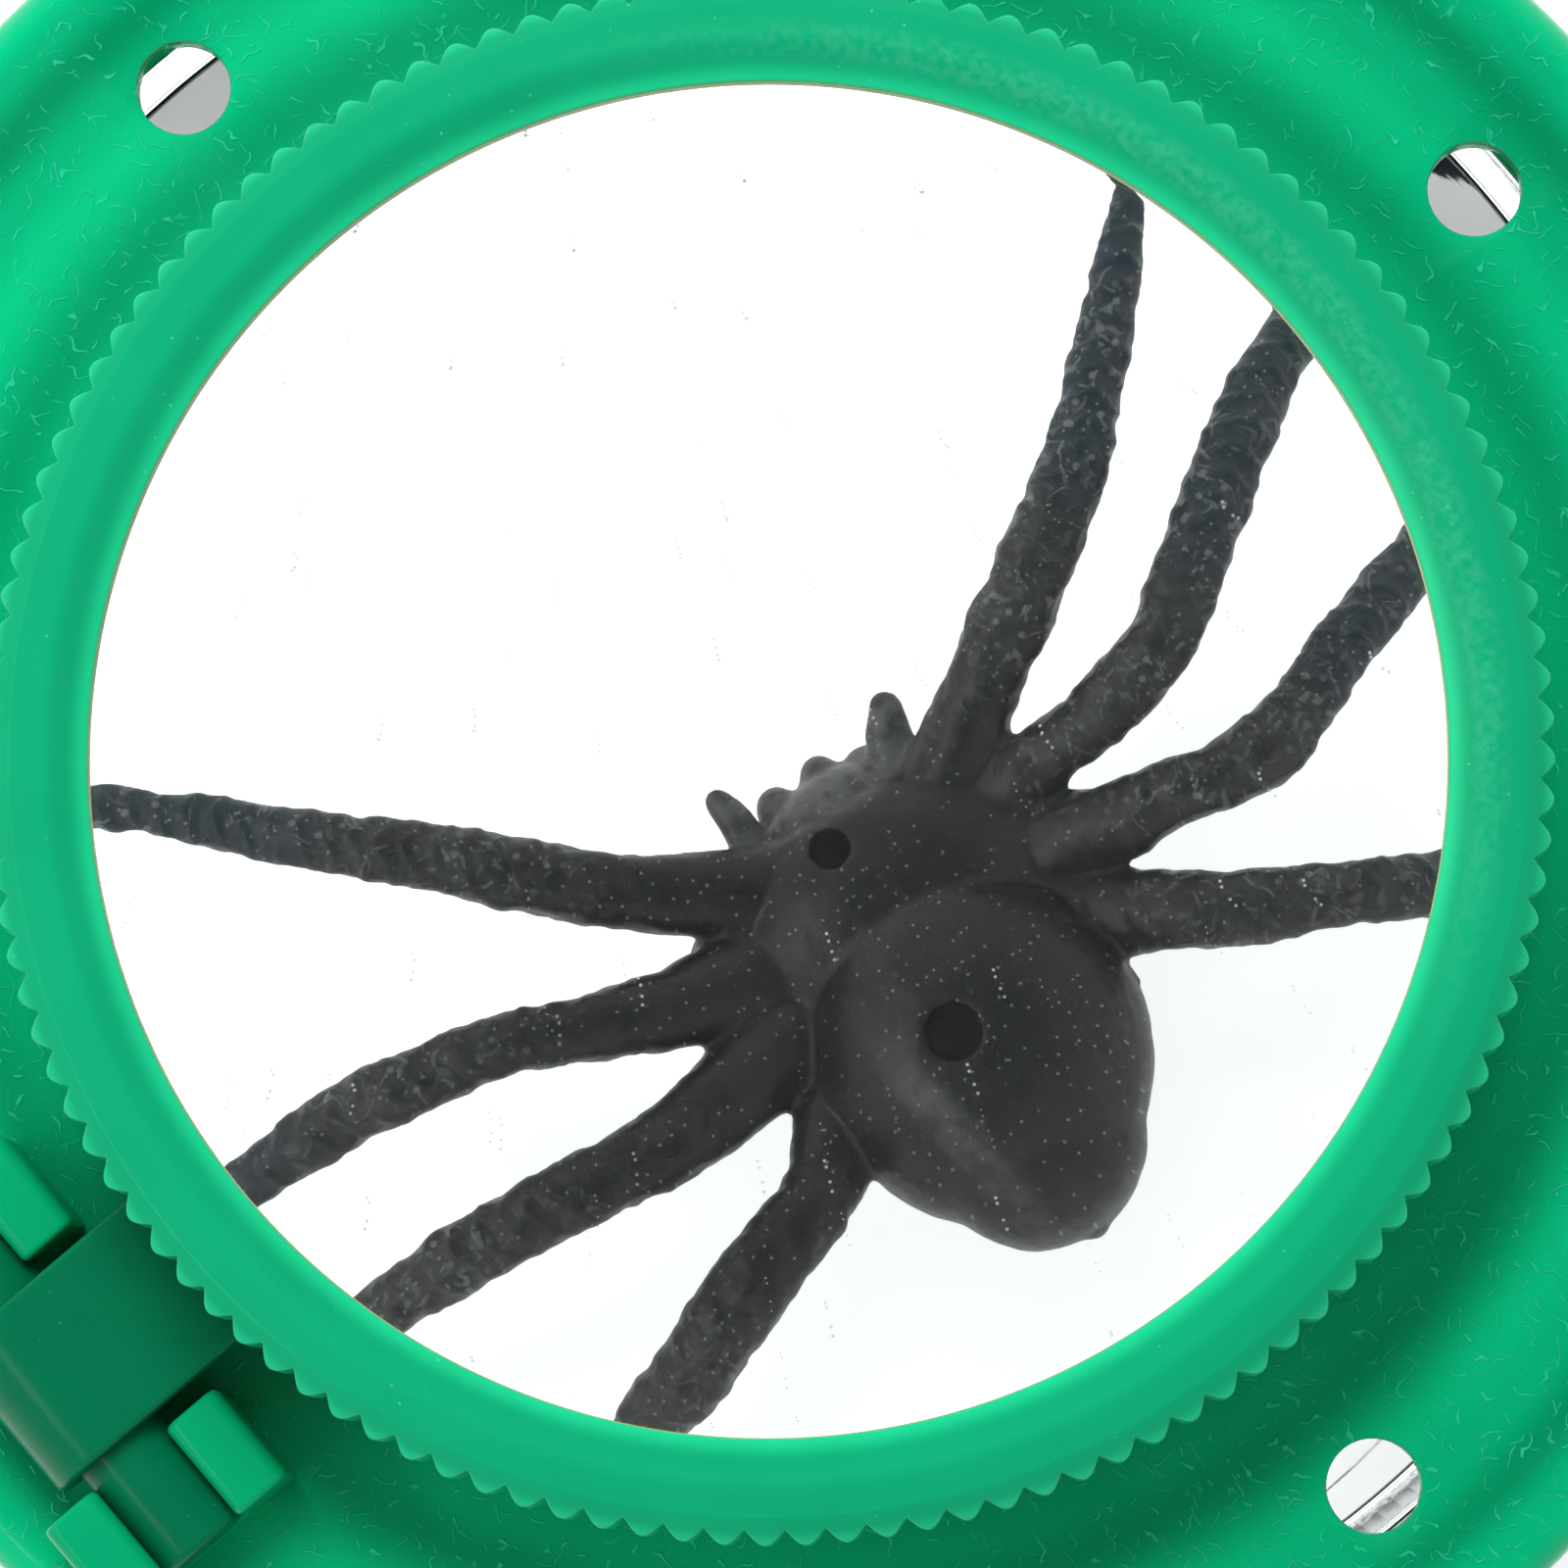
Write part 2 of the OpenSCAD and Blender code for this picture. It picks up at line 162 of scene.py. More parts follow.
def eased(corners, steps=6, closed=True):
    """A polyline through corners (a, b, fillet radius), with each corner rounded by its radius."""
    out, n = [], len(corners)
    for i, (a, b, r) in enumerate(corners):
        here = Vector((a, b))
        if r <= 0 or (not closed and i in (0, n - 1)):
            out.append((a, b))
            continue
        before = Vector(corners[i - 1][:2]) - here
        after = Vector(corners[(i + 1) % n][:2]) - here
        half = before.angle(after) / 2
        cut = min(r / math.tan(half), before.length * 0.49, after.length * 0.49)
        r = cut * math.tan(half)
        mid = (before.normalized() + after.normalized()).normalized()
        centre = here + mid * (r / math.sin(half))
        start = here + before.normalized() * cut - centre
        end = here + after.normalized() * cut - centre
        sweep = start.angle_signed(end)
        for k in range(steps + 1):
            turn = Matrix.Rotation(-sweep * k / steps, 2)
            out.append(tuple(centre + turn @ start))
    return out


def lathe(name, profile, steps=ROUND_STEPS, smooth_angle=SMOOTH_ANGLE):
    """A closed profile of (r, z) points turned about Z. Points on the axis become single points."""
    verts, rows = [], []
    for r, z in profile:
        if r < TINY:
            verts.append((0.0, 0.0, z))
            rows.append([len(verts) - 1] * steps)
            continue
        rows.append(list(range(len(verts), len(verts) + steps)))
        verts += [(r * math.cos(math.tau * k / steps), r * math.sin(math.tau * k / steps), z)
                  for k in range(steps)]
    faces = []
    for i, row in enumerate(rows):
        up = rows[(i + 1) % len(rows)]
        if row[0] == row[1] and up[0] == up[1]:
            continue
        for k in range(steps):
            m = (k + 1) % steps
            quad = [row[k], row[m], up[m], up[k]]
            faces.append([v for j, v in enumerate(quad) if v not in quad[:j]])
    return new_object(name, verts, faces, smooth_angle)


def prism(name, outline, x0, x1, bevel, at=(0.0, 0.0)):
    """An outline of (y, z) points carried along X from x0 to x1, with its end edges rounded."""
    bm = bmesh.new()
    ring = [bm.verts.new((x0, at[0] + y, at[1] + z)) for y, z in outline]
    cap = bm.faces.new(ring)
    made = bmesh.ops.extrude_face_region(bm, geom=[cap])["geom"]
    moved = [v for v in made if isinstance(v, bmesh.types.BMVert)]
    bmesh.ops.translate(bm, verts=moved, vec=(x1 - x0, 0, 0))
    bmesh.ops.recalc_face_normals(bm, faces=bm.faces)
    ends = [e for e in bm.edges if abs(e.verts[0].co.x - e.verts[1].co.x) < TINY]
    bmesh.ops.bevel(bm, geom=ends, offset=bevel, segments=4, profile=0.5, affect="EDGES",
                    clamp_overlap=True)
    bmesh.ops.scale(bm, vec=(MM, MM, MM), verts=bm.verts)
    mesh = bpy.data.meshes.new(name)
    bm.to_mesh(mesh)
    bm.free()
    obj = bpy.data.objects.new(name, mesh)
    bpy.context.scene.collection.objects.link(obj)
    return obj


def circle_points(r, start, end, steps):
    """Points of an arc from one angle to another, in degrees."""
    angles = [math.radians(start + (end - start) * k / steps) for k in range(steps + 1)]
    return [(r * math.cos(a), r * math.sin(a)) for a in angles]


def place(obj, body, node, material):
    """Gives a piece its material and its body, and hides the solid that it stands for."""
    obj.data.materials.clear()
    obj.data.materials.append(material)
    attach(obj, body)
    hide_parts(node)


# ---------------------------------------------------------------- material helpers
def linear(r, g, b):
    """The linear colour of an 8-bit screen colour."""
    light = [c / 255 / 12.92 if c <= 10 else ((c / 255 + 0.055) / 1.055) ** 2.4 for c in (r, g, b)]
    return (*light, 1.0)


def grey(level):
    return linear(level, level, level)


class Tree:
    """The nodes of a material or a world, with short ways to add and join them."""

    def __init__(self, owner, output="OutputMaterial"):
        owner.use_nodes = True
        self.owner = owner
        self.nodes, self.links = owner.node_tree.nodes, owner.node_tree.links
        self.nodes.clear()
        self.out = self.node(output)

    def node(self, kind, **values):
        """A node with its settings, and its inputs as in_NAME or in_NUMBER."""
        n = self.nodes.new("ShaderNode" + kind)
        for key, value in values.items():
            if key.startswith("in_"):
                self.feed(n, key[3:], value)
            else:
                setattr(n, key, value)
        return n

    def feed(self, n, key, value):
        """Links a socket to an input, or sets the input to a value."""
        socket = n.inputs[int(key) if key.isdigit() else key.replace("_", " ")]
        if isinstance(value, bpy.types.NodeSocket):
            self.links.new(value, socket)
        else:
            socket.default_value = value

    def math(self, operation, *values):
        n = self.node("Math", operation=operation)
        for i, v in enumerate(values):
            self.feed(n, str(i), v)
        return n.outputs[0]

    def product(self, first, *others):
        for other in others:
            first = self.math("MULTIPLY", first, other)
        return first

    def ramp(self, value, stops):
        """A colour ramp through (place, colour) stops."""
        n = self.node("ValToRGB")
        n.color_ramp.interpolation = "EASE"
        e = n.color_ramp.elements
        while len(e) < len(stops):
            e.new(0.5)
        for el, (position, colour) in zip(e, stops):
            el.position = position
            el.color = colour
        self.links.new(value, n.inputs["Fac"])
        return n.outputs["Color"]

    def rise(self, value, low, high, to_low=0.0, to_high=1.0):
        """Goes smoothly from one value to another as its input goes from low to high."""
        n = self.node("MapRange", interpolation_type="SMOOTHSTEP")
        for i, v in enumerate((value, low, high, to_low, to_high)):
            self.feed(n, str(i), v)
        return n.outputs["Result"]

    def mix_colour(self, share, a, b):
        return self.node("Mix", data_type="RGBA", in_0=share, in_6=a, in_7=b).outputs[2]

    def parts(self, vector):
        return self.node("SeparateXYZ", in_0=vector).outputs

    def picks(self, colour):
        """Three numbers from a cell's random colour."""
        return self.node("SeparateColor", in_0=colour).outputs

    def vector(self, operation, *values):
        n = self.node("VectorMath", operation=operation)
        for i, v in enumerate(values):
            self.feed(n, str(i), v)
        return n.outputs[0]

    def turned(self, vector, angle):
        return self.node("VectorRotate", rotation_type="Z_AXIS", in_Vector=vector, in_Angle=angle).outputs[0]

    def place(self):
        """A point of the object in millimetres, with its distance from the axis and its height."""
        c = self.node("TexCoord").outputs["Object"]
        v = self.node("VectorMath", operation="SCALE", in_0=c, in_Scale=1 / MM).outputs[0]
        x, y, z = self.parts(v)
        r = self.math("SQRT", self.math("ADD", self.math("MULTIPLY", x, x), self.math("MULTIPLY", y, y)))
        return v, r, z

    def noise(self, vector, scale, detail=2.0, roughness=0.5):
        return self.node("TexNoise", in_Vector=vector, in_Scale=scale, in_Detail=detail,
                         in_Roughness=roughness).outputs["Fac"]

    def bump(self, height, strength, distance):
        """A bumped normal, with the distance in millimetres."""
        return self.node("Bump", in_Height=height, in_Strength=strength,
                         in_Distance=distance * MM).outputs["Normal"]

    def done(self, surface):
        """Shows a shader on the owner and gives the owner back."""
        self.links.new(surface, self.out.inputs["Surface"])
        return self.owner


# ---------------------------------------------------------------- materials
LID_GREEN = linear(3, 188, 129)
LID_BRIGHT = linear(5, 207, 143)
LID_DEEP = linear(2, 150, 100)
LID_SHADE = linear(3, 163, 110)
RING_GREEN = linear(16, 177, 125)
RING_GLOW = linear(34, 222, 156)
# a deeper green than the ring, as painted shade for the ring's shadow over the frame's arm
FRAME_SHADE_GREEN = linear(4, 115, 78)
# a deeper green for the lid's raised clips, as painted shade
CLIP_SHADE_GREEN = linear(5, 171, 116)
GRAIN_HIGHLIGHT = linear(66, 240, 196)
DUST_PALE = linear(150, 235, 208)
SHEEN_PALE = linear(110, 210, 184)
TIP_GLOW = linear(40, 214, 156)
EDGE_WARM = linear(205, 165, 70)
LENS_DUST = linear(170, 170, 168)
LEG_GREY, LEG_END_VEIL = linear(62, 64, 64), linear(22, 44, 58)
JAW_GREY, STROKE_GREY, FLECK_GREY = linear(108, 108, 106), linear(120, 122, 120), linear(150, 150, 148)
WHITE = (1.0, 1.0, 1.0, 1.0)
# The lid's green by the distance from the axis, and the distance at the ramp's end. It is painted light: a
# painted glow where the thin sheet over the jar's hollow and the lip would be backlit, painted shade beside
# the ring and over the skirt
LID_PAINTED_LIGHT = [(0.0, LID_GREEN), (24.8, LID_GREEN), (26.3, LID_SHADE), (28.8, LID_BRIGHT),
              (30.4, LID_GREEN), (32.0, LID_DEEP), (33.4, LID_GREEN), (34.4, LID_BRIGHT)]
RAMP_R = 40.0
BODY_GLOW = 0.35
SOFT_IOR, CLEAR_IOR = 1.46, 1.49


def green_shader(t, colour, normal, roughness):
    """Translucent plastic, with light that spreads about a millimetre inside it."""
    return t.node("BsdfPrincipled", in_Base_Color=colour, in_Roughness=roughness, in_IOR=SOFT_IOR,
                  in_Specular_IOR_Level=0.12, in_Subsurface_Weight=BODY_GLOW,
                  in_Subsurface_Radius=(0.3, 1.0, 0.75), in_Subsurface_Scale=0.0012,
                  in_Normal=normal).outputs[0]


def streaks(t, v, scale, share, turn, width=0.05):
    """Short bent streaks, one at most in each cell, each lying its own way, in a share of the cells."""
    bent = t.node("TexNoise", in_Vector=v, in_Scale=1.6, in_Detail=1.0).outputs["Color"]
    at = t.turned(t.vector("MULTIPLY_ADD", bent, (0.7, 0.7, 0.0), v), turn)
    cells = t.node("TexVoronoi", voronoi_dimensions="2D", in_Vector=at, in_Scale=scale).outputs
    way, length, chance = t.picks(cells["Color"])
    own = t.turned(t.vector("SUBTRACT", at, cells["Position"]), t.math("MULTIPLY", way, math.tau))
    x, y = t.parts(own)[:2]
    half = t.rise(length, 0.0, 1.0, 0.2 / scale, 0.62 / scale)
    across = t.rise(t.math("ABSOLUTE", y), width * 0.3, width, 1.0, 0.0)
    along = t.rise(t.math("SUBTRACT", t.math("ABSOLUTE", x), half), -0.1, 0.0, 1.0, 0.0)
    return t.product(across, along, t.rise(chance, 0.0, share, 1.0, 0.0))


def specks(t, v, scale, size, share, turn):
    """Round soft specks, one at most in each cell, in a share of the cells."""
    at = t.turned(v, turn)
    cells = t.node("TexVoronoi", voronoi_dimensions="2D", in_Vector=at, in_Scale=scale).outputs
    near = t.rise(cells["Distance"], size * 0.4, size, 1.0, 0.0)
    return t.product(near, t.rise(t.picks(cells["Color"])[0], 1 - share, 1 - share + 0.3))


def lid_material():
    """Translucent green, crinkled on its top, with painted light: a painted glow where the sheet is thin over
    the jar's hollow and at the lip, painted shade beside the ring, over the skirt and on the clips, and
    painted highlights on the grain's ridges.
    """
    t = Tree(bpy.data.materials.new("lid_green"))
    v, r, z = t.place()
    # painted glow and painted shade by the distance from the axis
    colour = t.ramp(t.math("DIVIDE", r, RAMP_R), [(at / RAMP_R, green) for at, green in LID_PAINTED_LIGHT])
    colour = t.mix_colour(t.rise(t.noise(v, 0.12, 3.0), 0.3, 0.7, 0.0, 0.25), colour, LID_DEEP)
    # the crinkle grain: short bent ridges on the sheet's top, not on its edge or on the clips; their pale
    # colour is a painted highlight
    ridge = t.math("MAXIMUM", streaks(t, v, 1.2, 0.85, 0.0), streaks(t, v, 1.8, 0.6, 1.0))
    ridge = t.product(ridge, t.rise(z, LID_TOP_Z - 1.2, LID_TOP_Z - 0.6),
                      t.rise(z, LID_TOP_Z + 0.03, LID_TOP_Z + 0.2, 1.0, 0.0),
                      t.rise(r, LID_R - 1.4, LID_R - 0.5, 1.0, 0.0))
    # painted highlight along the grain's ridges
    colour = t.mix_colour(t.product(ridge, 0.5), colour, GRAIN_HIGHLIGHT)
    # painted shade: the raised clips and collar, of the same plastic, in a deeper green
    colour = t.mix_colour(t.rise(z, LID_TOP_Z + 0.2, LID_TOP_Z + 0.6), colour, CLIP_SHADE_GREEN)
    height = t.math("ADD", ridge, t.product(t.noise(v, 4.0, 2.0), 0.06))
    return t.done(green_shader(t, colour, t.bump(height, 1.0, 0.06), 0.2))


def smooth_green(name, base, dust, ring=False):
    """Smooth translucent green with some dust. On the ring, painted light: a painted glow on the lip and the
    teeth, a painted sheen on the front of the slope and a painted warm fringe on the lip's edge.
    """
    t = Tree(bpy.data.materials.new(name))
    v, r = t.place()[:2]
    colour = base
    if ring:
        # painted glow along the lip's inner edge, where light would shine through
        colour = t.mix_colour(t.rise(r, BEZEL_R, BEZEL_R + 0.75, 1.0, 0.0), base, RING_GLOW)
    colour = t.mix_colour(t.rise(t.noise(v, 0.25, 2.0), 0.3, 0.7, 0.0, 0.12), colour, LID_DEEP)
    grains = t.math("MAXIMUM", specks(t, v, 3.1, 0.06, 0.3, 0.7), specks(t, v, 1.3, 0.08, 0.3, 1.9))
    dusty = t.product(grains, t.rise(t.noise(v, 0.2, 2.0), 0.45, 0.65, 0.0, dust))
    colour = t.mix_colour(dusty, colour, DUST_PALE)
    if ring:
        # a painted sheen on the slope towards the lens, most at the front, mottled, where a bright surround
        # would reflect
        front_sheen = t.product(t.rise(t.parts(v)[1], -20.0, -7.0, 1.0, 0.0), t.rise(r, 21.4, 21.9),
                         t.rise(r, 22.4, 23.1, 1.0, 0.0), t.rise(t.noise(v, 3.2, 4.0), 0.3, 0.72))
        colour = t.mix_colour(t.product(front_sheen, 0.2), colour, SHEEN_PALE)
        # painted glow on the thin tips of the teeth, where more light would come through, and a painted warm
        # fringe of light along the lip's edge
        colour = t.mix_colour(t.rise(r, ROOT_R, TIP_R - 0.06, 0.0, 0.6), colour, TIP_GLOW)
        colour = t.mix_colour(t.rise(r, BEZEL_R + 0.02, BEZEL_R + 0.05, 0.55, 0.0), colour, EDGE_WARM)
    return t.done(green_shader(t, colour, t.bump(t.noise(v, 3.0, 3.0), 0.25, 0.02), 0.24))


def clear_material(name, tint, roughness, waviness, dust):
    """Clear plastic that lets lamps and bounced light straight through, with a few specks of dust."""
    t = Tree(bpy.data.materials.new(name))
    v = t.place()[0]
    clarity = 1.0
    if dust:
        grains = t.math("MAXIMUM", specks(t, v, 0.27, 0.02, 0.6, 0.9),
                        specks(t, v, 0.4, 0.016, 0.4, 2.1))
        grains = t.product(grains, dust)
        tint = t.mix_colour(grains, tint, LENS_DUST)
        clarity = t.math("SUBTRACT", 1.0, grains)
    normal = t.bump(t.noise(v, 0.6, 4.0), waviness, 0.04)
    glass = t.node("BsdfPrincipled", in_Base_Color=tint, in_Roughness=roughness, in_IOR=CLEAR_IOR,
                   in_Transmission_Weight=clarity, in_Normal=normal).outputs[0]
    path = t.node("LightPath").outputs
    through = t.math("MAXIMUM", path["Is Shadow Ray"], path["Is Diffuse Ray"])
    clear = t.node("BsdfTransparent", in_Color=(0.97, 0.98, 0.98, 1.0)).outputs[0]
    return t.done(t.node("MixShader", in_0=through, in_1=glass, in_2=clear).outputs[0])


def spider_material():
    """Soft black plastic with specks, strokes, pin marks and mottled jaws, and painted light: a painted
    highlight along the abdomen and a painted bluish veil on the leg ends.
    """
    t = Tree(bpy.data.materials.new("toy_black"))
    v, r = t.place()[:2]
    out = t.rise(r, 4.0, 8.5)
    own = t.turned(t.vector("SUBTRACT", v, (*SPIDER_AT, 0.0)), -math.radians(SPIDER_TURN))

    def spot(x, y, half_x, half_y, turn, soft):
        """A soft-edged ellipse in the spider's own frame, seen from above."""
        off = t.turned(t.vector("SUBTRACT", own, (x, y, 0.0)), -math.radians(turn))
        off = t.vector("MULTIPLY", off, (1 / half_x, 1 / half_y, 0.0))
        away = t.node("VectorMath", operation="LENGTH", in_0=off).outputs["Value"]
        return t.rise(away, 1 - soft, 1 + soft, 1.0, 0.0)

    small = specks(t, v, 4.2, 0.17, 0.45, 0.0)
    large = specks(t, v, 2.6, 0.24, 0.55, 0.4)
    strokes = t.math("MAXIMUM", streaks(t, v, 2.7, 0.9, 0.6, 0.06), streaks(t, v, 3.4, 0.9, 1.9, 0.05))
    strokes = t.product(strokes, out)
    patches = t.rise(t.noise(v, 0.55, 2.0), 0.35, 0.65)
    rough = t.noise(v, 2.2, 3.0)
    jaws = t.product(spot(3.05, -0.35, 1.15, 2.4, 0.0, 0.25), t.rise(rough, 0.35, 0.6, 0.35, 0.85))
    # painted highlight: a soft pale streak along the abdomen's side, where a lamp would reflect
    abdomen_highlight = t.product(spot(-4.6, 0.42, 1.75, 0.34, 16.8, 0.7), t.rise(rough, 0.35, 0.6, 0.45, 1.0))
    colour = t.mix_colour(patches, grey(21), grey(35))
    for share, tone in (
        (t.product(out, 0.75), LEG_GREY),
        (t.rise(rough, 0.35, 0.65, 0.5, 0.0), grey(14)),
        # painted bluish veil of light on the leg ends towards the lens's edge, where the lens tints and
        # reflects
        (t.rise(r, 9.5, 12.0, 0.0, 0.7), LEG_END_VEIL),
        (jaws, JAW_GREY),
        (t.product(abdomen_highlight, 0.55), grey(110)),
        (t.product(small, 0.6), grey(140)),
        (t.product(strokes, t.rise(patches, 0.0, 1.0, 0.25, 0.7)), STROKE_GREY),
        (t.product(large, out, patches, 0.5), FLECK_GREY),
    ):
        colour = t.mix_colour(share, colour, tone)
    height = t.math("ADD", t.noise(v, 5.0, 4.0, 0.6), t.product(strokes, 0.8))
    normal = t.bump(height, 0.6, 0.03)
    skin = t.node("BsdfPrincipled", in_Base_Color=colour, in_Roughness=0.4, in_IOR=SOFT_IOR,
                  in_Specular_IOR_Level=0.4, in_Normal=normal).outputs[0]
    matt = t.node("BsdfPrincipled", in_Base_Color=t.mix_colour(rough, grey(18), grey(26)),
                  in_Roughness=0.8, in_IOR=SOFT_IOR, in_Specular_IOR_Level=0.0,
                  in_Normal=normal).outputs[0]
    marks = t.math("MAXIMUM", *[spot(mx, my, mr, mr, 0.0, 0.05) for (mx, my), mr in PIN_MARKS])
    return t.done(t.node("MixShader", in_0=marks, in_1=skin, in_2=matt).outputs[0])


# ---------------------------------------------------------------- jar
def make_jar():
    """The clear cup with its foot ring, its drafted wall and its rounded rim."""
    foot_r, inside_r = FLOOR_R - FOOT_W, BASE_R - JAR_WALL
    return lathe("clear_jar", eased([
        (0.0, FOOT_H, 0), (foot_r, FOOT_H, FOOT_EASE), (foot_r, 0.0, FOOT_EASE),
        (BASE_R, 0.0, JAR_CORNER_R), (RIM_R, JAR_H, RIM_ROUND), (RIM_R - JAR_WALL, JAR_H, RIM_ROUND),
        (inside_r, FLOOR_Z, JAR_CORNER_R - JAR_WALL), (0.0, FLOOR_Z, 0),
    ], steps=10))


# ---------------------------------------------------------------- lid
def clip_outline():
    """One clip seen along the hinge axis: two jaws with a pin's bore between them."""
    outer, inner = MOUTH_W / 2 + JAW_T, MOUTH_W / 2
    bore = PIN_D / 2 + PIN_GAP
    lip = math.sqrt(bore * bore - inner * inner)
    start = math.degrees(math.atan2(lip, inner))
    drop = HINGE_Z - LID_TOP_Z + LID_T / 2
    side = [(outer, -drop, 0), (outer, JAW_RISE, JAW_ROUND), (inner, JAW_RISE, JAW_ROUND), (inner, lip, 0)]
    right = eased(side, steps=5, closed=False)
    arc = circle_points(bore, start, -180 - start, 24)
    left = [(-y, z) for y, z in reversed(right)]
    return right + arc[1:-1] + left


def vent_tool():
    """What one vent hole cuts away, with a flare at both ends."""
    hole_r, flare_r = VENT_D / 2, VENT_D / 2 + VENT_FLARE
    return lathe("hole", [
        (0.0, LID_UNDER_Z - CUT_OVER), (flare_r, LID_UNDER_Z - CUT_OVER), (flare_r, LID_UNDER_Z),
        (hole_r, LID_UNDER_Z + VENT_FLARE), (hole_r, LID_TOP_Z - VENT_FLARE),
        (hole_r + VENT_FLARE * 0.3, LID_TOP_Z - VENT_FLARE * 0.3), (flare_r, LID_TOP_Z),
        (flare_r, LID_TOP_Z + CUT_OVER), (0.0, LID_TOP_Z + CUT_OVER),
    ], steps=SMALL_ROUND_STEPS)


def make_lid():
    """The lid with its collar, ledge, rolled lip and skirt, its three vents and its two hinge clips."""
    lip_z, lip_in_r = LID_TOP_Z - LIP_DROP, LID_R - LID_T
    skirt_z = LID_UNDER_Z - SKIRT_H
    lid = lathe("green_lid", eased([
        (LID_LEDGE_R, LID_UNDER_Z, EASE_SMALL), (LID_LEDGE_R, FIXED_LENS_Z, EASE_TINY),
        (LID_SEAT_R, FIXED_LENS_Z, 0), (LID_SEAT_R, COLLAR_TOP_Z, EASE_SMALL),
        (COLLAR_R, COLLAR_TOP_Z, COLLAR_EASE), (COLLAR_R, LID_TOP_Z, EASE_WIDE),
        (LID_R, LID_TOP_Z, LID_EDGE_R), (LID_R, lip_z, EASE_MID), (lip_in_r, lip_z, EASE_MID),
        (lip_in_r, LID_UNDER_Z, EASE_WIDE), (SKIRT_OUT_R, LID_UNDER_Z, EASE_MID),
        (SKIRT_OUT_R, skirt_z, SKIRT_EASE), (SKIRT_IN_R + SKIRT_GAP, skirt_z, EASE_MID),
        (SKIRT_IN_R, skirt_z + LID_T, 0), (SKIRT_IN_R, LID_UNDER_Z, 0),
    ], steps=8))
    for turn in (180, 270, 360):
        a = math.radians(turn)
        hole = vent_tool()
        hole.location = (VENT_R * math.cos(a) * MM, VENT_R * math.sin(a) * MM, 0)
        combine(lid, hole, "DIFFERENCE")
    for side in (-1, 1):
        x0, x1 = sorted((side * CLIP_X, side * PIN_HALF_L))
        combine(lid, prism("clip", clip_outline(), x0, x1, BLOCK_EASE, at=(VENT_R, HINGE_Z)), "UNION")
    shade(lid, SMOOTH_ANGLE)
    return lid


# ---------------------------------------------------------------- lenses
def make_lens(name, outer_r, dome_r, z, dome_h):
    """A lens with a true spherical dome on each face, inside a flat rim with eased edges."""
    curve_r = (dome_r ** 2 + dome_h ** 2) / (2 * dome_h)
    top = z + LENS_EDGE_T

    def face(level, way):
        """One dome from the axis to the flat rim."""
        reach = [dome_r * k / LENS_RINGS for k in range(LENS_RINGS + 1)]
        return [(r, level + way * (math.sqrt(curve_r ** 2 - r ** 2) - curve_r + dome_h)) for r in reach]

    edge = eased([
        (outer_r - LENS_LAND, z, 0), (outer_r, z, LENS_EASE),
        (outer_r, top, LENS_EASE), (outer_r - LENS_LAND, top, 0),
    ], steps=3, closed=False)
    return lathe(name, face(z, -1) + edge + face(top, 1)[::-1], LENS_STEPS, LENS_SMOOTH_ANGLE)


# ---------------------------------------------------------------- flip frame
def make_frame():
    """The tube that holds the upper lens, with its arm, its knuckle and the two pin stubs."""
    seat_z = RING_TOP_Z - BEZEL_T
    tube = lathe("flip_frame", eased([
        (FRAME_LEDGE_R, FRAME_Z, EASE_FINE), (FRAME_R, FRAME_Z, EASE_MID), (FRAME_R, seat_z, EASE_SMALL),
        (FRAME_SEAT_R, seat_z, EASE_TINY), (FRAME_SEAT_R, FLIP_LENS_Z, 0),
        (FRAME_LEDGE_R, FLIP_LENS_Z, EASE_TINY),
    ], steps=5))
    arm_in = VENT_R - (FRAME_SEAT_R + FRAME_R) / 2
    low, knuckle_r = FRAME_Z - HINGE_Z, KNUCKLE_D / 2
    end = 180 - math.degrees(math.asin(low / knuckle_r))
    outline = [(-arm_in, low), (-arm_in, knuckle_r)] + circle_points(knuckle_r, 90, end - 360, 40)
    arm = prism("arm", outline, -ARM_W / 2, ARM_W / 2, BLOCK_EASE, at=(VENT_R, HINGE_Z))
    combine(tube, arm, "UNION")
    pin = lathe("pin", eased([
        (0.0, -PIN_HALF_L, 0), (PIN_D / 2, -PIN_HALF_L, PIN_ROUND),
        (PIN_D / 2, PIN_HALF_L, PIN_ROUND), (0.0, PIN_HALF_L, 0),
    ], steps=5), steps=SMALL_ROUND_STEPS)
    hinge = Matrix.Translation((0, VENT_R * MM, HINGE_Z * MM))
    pin.matrix_world = hinge @ Matrix.Rotation(math.pi / 2, 4, "Y")
    combine(tube, pin, "UNION")
    shade(tube, SMOOTH_ANGLE)
    return tube


